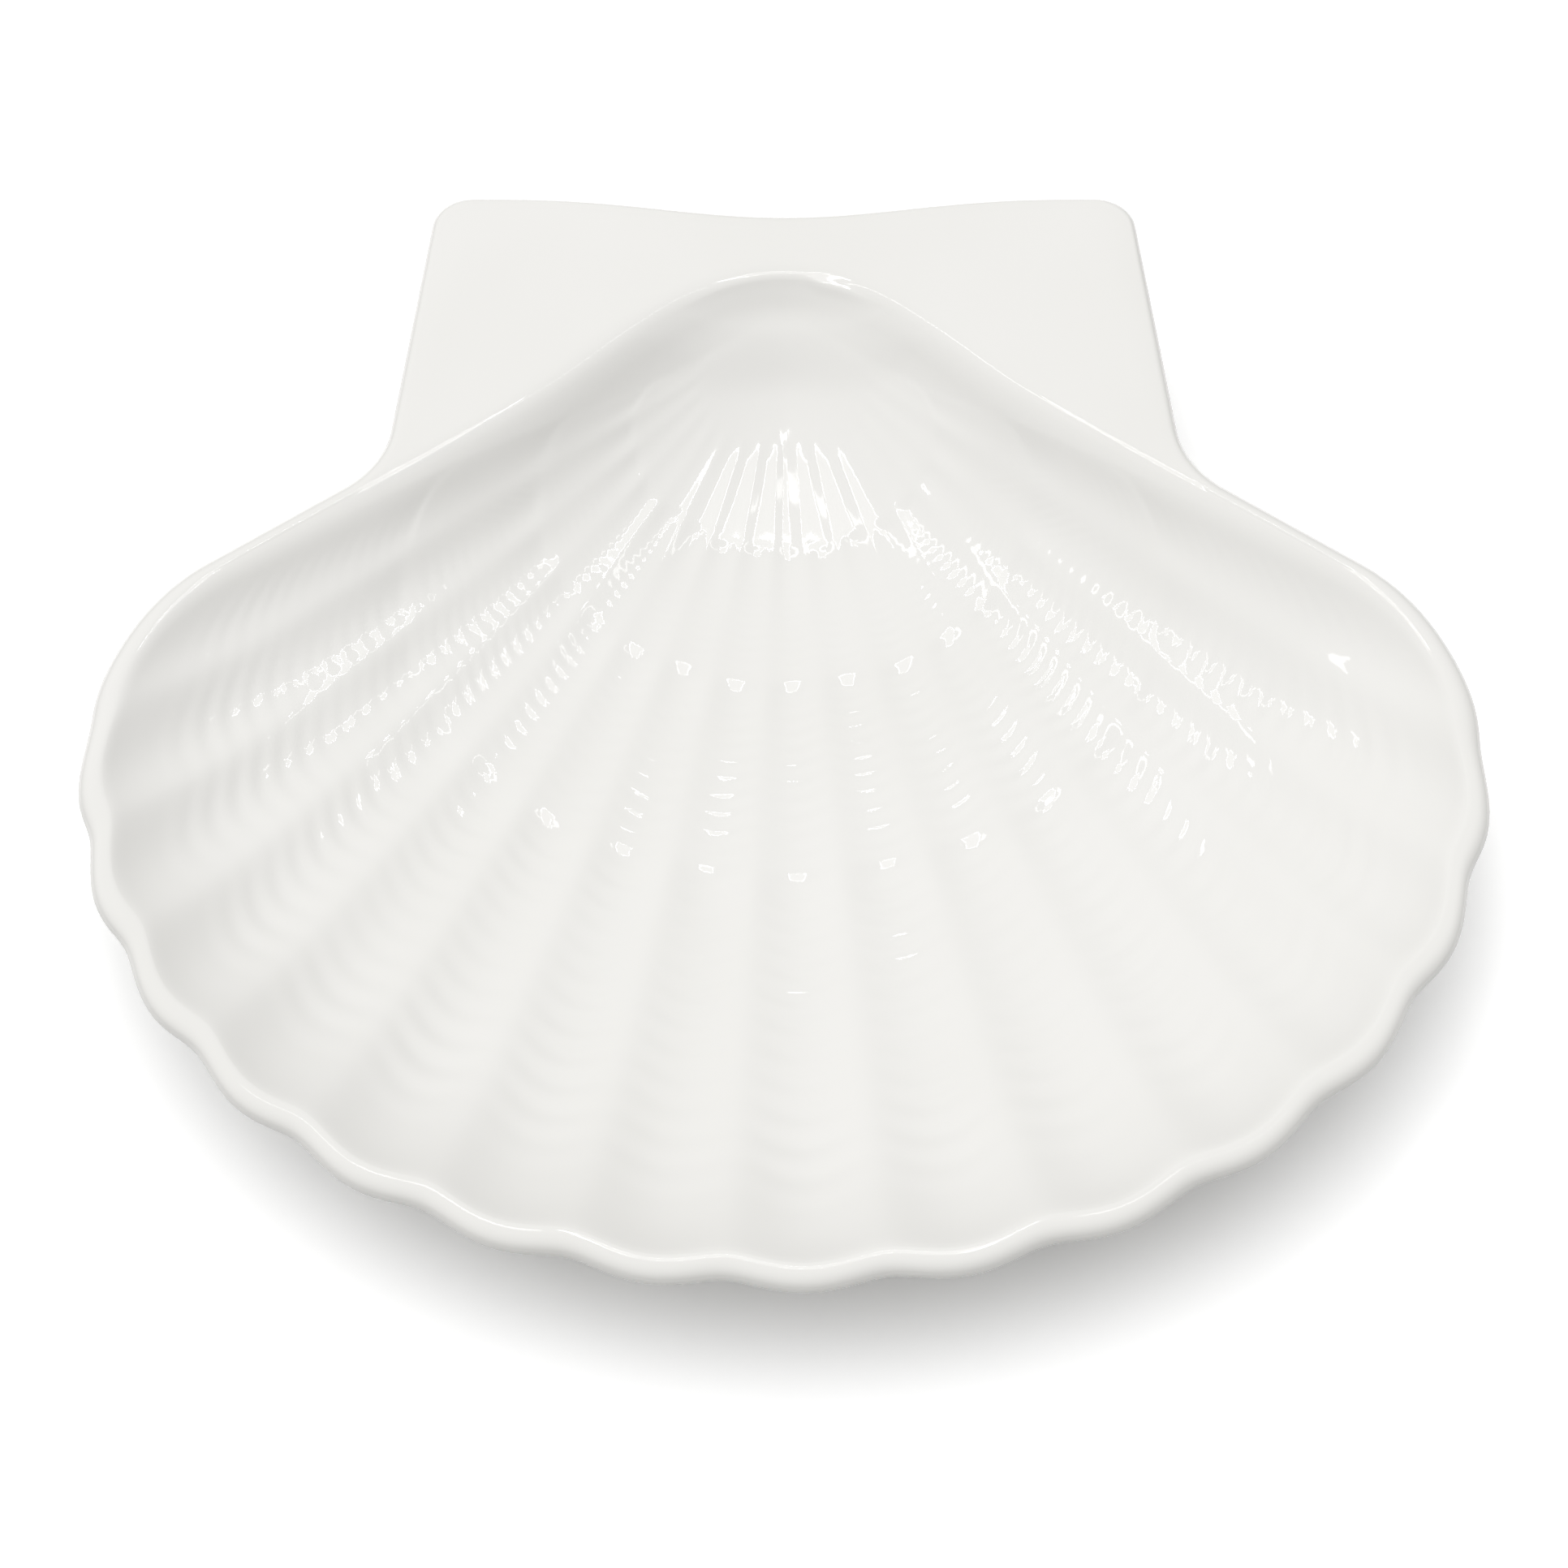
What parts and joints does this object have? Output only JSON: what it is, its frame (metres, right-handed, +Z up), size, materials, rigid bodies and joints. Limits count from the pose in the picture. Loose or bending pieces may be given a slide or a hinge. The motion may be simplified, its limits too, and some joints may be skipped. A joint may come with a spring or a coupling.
{
  "type": "shell shaped platter",
  "caption": "White glazed porcelain serving platter in the form of a scallop shell, with a ribbed well, scalloped lip, flat hinge panel and low oval foot ring.",
  "frame": {"origin": "on the table under the middle of the platter's outline", "axes": "+X across the shell to the right, +Y towards the hinge panel, +Z up"},
  "size_m": [0.3014, 0.2905, 0.0319],
  "materials": {
    "porcelain": "glossy white glaze"
  },
  "bodies": {
    "root": {"platter": "porcelain"}
  },
  "joints": []
}
